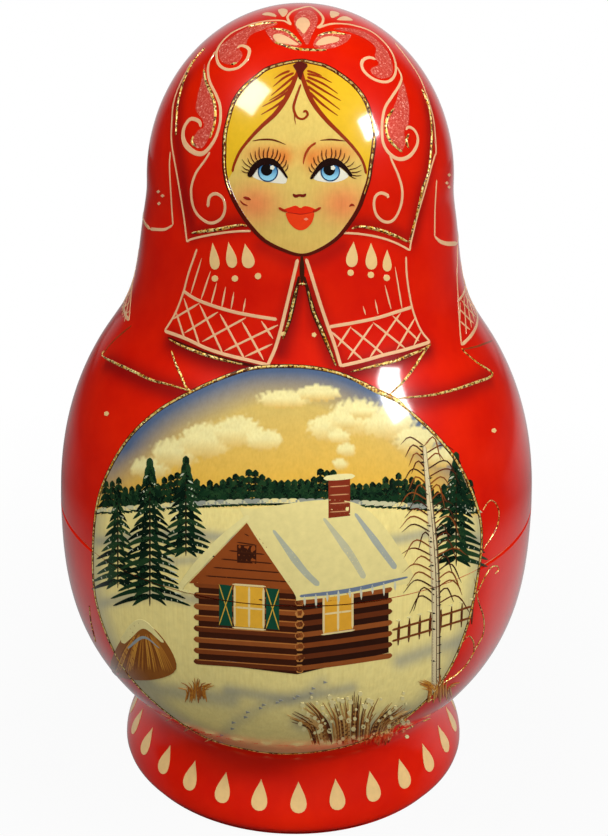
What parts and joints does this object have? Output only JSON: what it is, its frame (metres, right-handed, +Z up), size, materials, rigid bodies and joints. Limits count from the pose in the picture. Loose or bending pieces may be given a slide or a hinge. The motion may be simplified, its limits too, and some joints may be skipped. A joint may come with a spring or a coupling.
{
  "type": "matryoshka nesting doll",
  "caption": "Turned wooden nesting doll with a flared foot, painted and lacquered, that opens at a seam round its belly and holds ever smaller dolls of the same shape.",
  "frame": {"origin": "centre of the flat base, on the turning axis", "axes": "+Z up along the turning axis; the painted face looks along -Y and +X is to its left hand"},
  "size_m": [0.146, 0.146, 0.24],
  "materials": {
    "painted_linden": "gloss lacquer over painted linden, bare wood inside"
  },
  "bodies": {
    "doll_1_bottom": {"doll_1_bottom": "painted_linden"},
    "doll_2_bottom": {"doll_2_bottom": "painted_linden"},
    "doll_3_bottom": {"doll_3_bottom": "painted_linden"},
    "doll_4_bottom": {"doll_4_bottom": "painted_linden"},
    "doll_5_bottom": {"doll_5_bottom": "painted_linden"},
    "doll_6_bottom": {"doll_6_bottom": "painted_linden"},
    "doll_7_bottom": {"doll_7_bottom": "painted_linden"},
    "doll_8_bottom": {"doll_8_bottom": "painted_linden"},
    "doll_9_bottom": {"doll_9_bottom": "painted_linden"},
    "doll_10_core": {"doll_10_core": "painted_linden"},
    "doll_9_top": {"doll_9_top": "painted_linden"},
    "doll_8_top": {"doll_8_top": "painted_linden"},
    "doll_7_top": {"doll_7_top": "painted_linden"},
    "doll_6_top": {"doll_6_top": "painted_linden"},
    "doll_5_top": {"doll_5_top": "painted_linden"},
    "doll_4_top": {"doll_4_top": "painted_linden"},
    "doll_3_top": {"doll_3_top": "painted_linden"},
    "doll_2_top": {"doll_2_top": "painted_linden"},
    "doll_1_top": {"doll_1_top": "painted_linden"}
  },
  "joints": [
    {"name": "doll_2_lift", "type": "slide", "parent": "doll_1_bottom", "child": "doll_2_bottom", "axis": [0, 0, 1], "range_m": [0, 0.076]},
    {"name": "doll_3_lift", "type": "slide", "parent": "doll_2_bottom", "child": "doll_3_bottom", "axis": [0, 0, 1], "range_m": [0, 0.063]},
    {"name": "doll_4_lift", "type": "slide", "parent": "doll_3_bottom", "child": "doll_4_bottom", "axis": [0, 0, 1], "range_m": [0, 0.052]},
    {"name": "doll_5_lift", "type": "slide", "parent": "doll_4_bottom", "child": "doll_5_bottom", "axis": [0, 0, 1], "range_m": [0, 0.042]},
    {"name": "doll_6_lift", "type": "slide", "parent": "doll_5_bottom", "child": "doll_6_bottom", "axis": [0, 0, 1], "range_m": [0, 0.034]},
    {"name": "doll_7_lift", "type": "slide", "parent": "doll_6_bottom", "child": "doll_7_bottom", "axis": [0, 0, 1], "range_m": [0, 0.028]},
    {"name": "doll_8_lift", "type": "slide", "parent": "doll_7_bottom", "child": "doll_8_bottom", "axis": [0, 0, 1], "range_m": [0, 0.022]},
    {"name": "doll_9_lift", "type": "slide", "parent": "doll_8_bottom", "child": "doll_9_bottom", "axis": [0, 0, 1], "range_m": [0, 0.018]},
    {"name": "doll_10_lift", "type": "slide", "parent": "doll_9_bottom", "child": "doll_10_core", "axis": [0, 0, 1], "range_m": [0, 0.013]},
    {"name": "doll_9_open", "type": "slide", "parent": "doll_10_core", "child": "doll_9_top", "axis": [0, 0, 1], "range_m": [0, 0.02]},
    {"name": "doll_8_open", "type": "slide", "parent": "doll_9_top", "child": "doll_8_top", "axis": [0, 0, 1], "range_m": [0, 0.028]},
    {"name": "doll_7_open", "type": "slide", "parent": "doll_8_top", "child": "doll_7_top", "axis": [0, 0, 1], "range_m": [0, 0.038]},
    {"name": "doll_6_open", "type": "slide", "parent": "doll_7_top", "child": "doll_6_top", "axis": [0, 0, 1], "range_m": [0, 0.048]},
    {"name": "doll_5_open", "type": "slide", "parent": "doll_6_top", "child": "doll_5_top", "axis": [0, 0, 1], "range_m": [0, 0.061]},
    {"name": "doll_4_open", "type": "slide", "parent": "doll_5_top", "child": "doll_4_top", "axis": [0, 0, 1], "range_m": [0, 0.076]},
    {"name": "doll_3_open", "type": "slide", "parent": "doll_4_top", "child": "doll_3_top", "axis": [0, 0, 1], "range_m": [0, 0.093]},
    {"name": "doll_2_open", "type": "slide", "parent": "doll_3_top", "child": "doll_2_top", "axis": [0, 0, 1], "range_m": [0, 0.115]},
    {"name": "doll_1_open", "type": "slide", "parent": "doll_2_top", "child": "doll_1_top", "axis": [0, 0, 1], "range_m": [0, 0.14]}
  ]
}
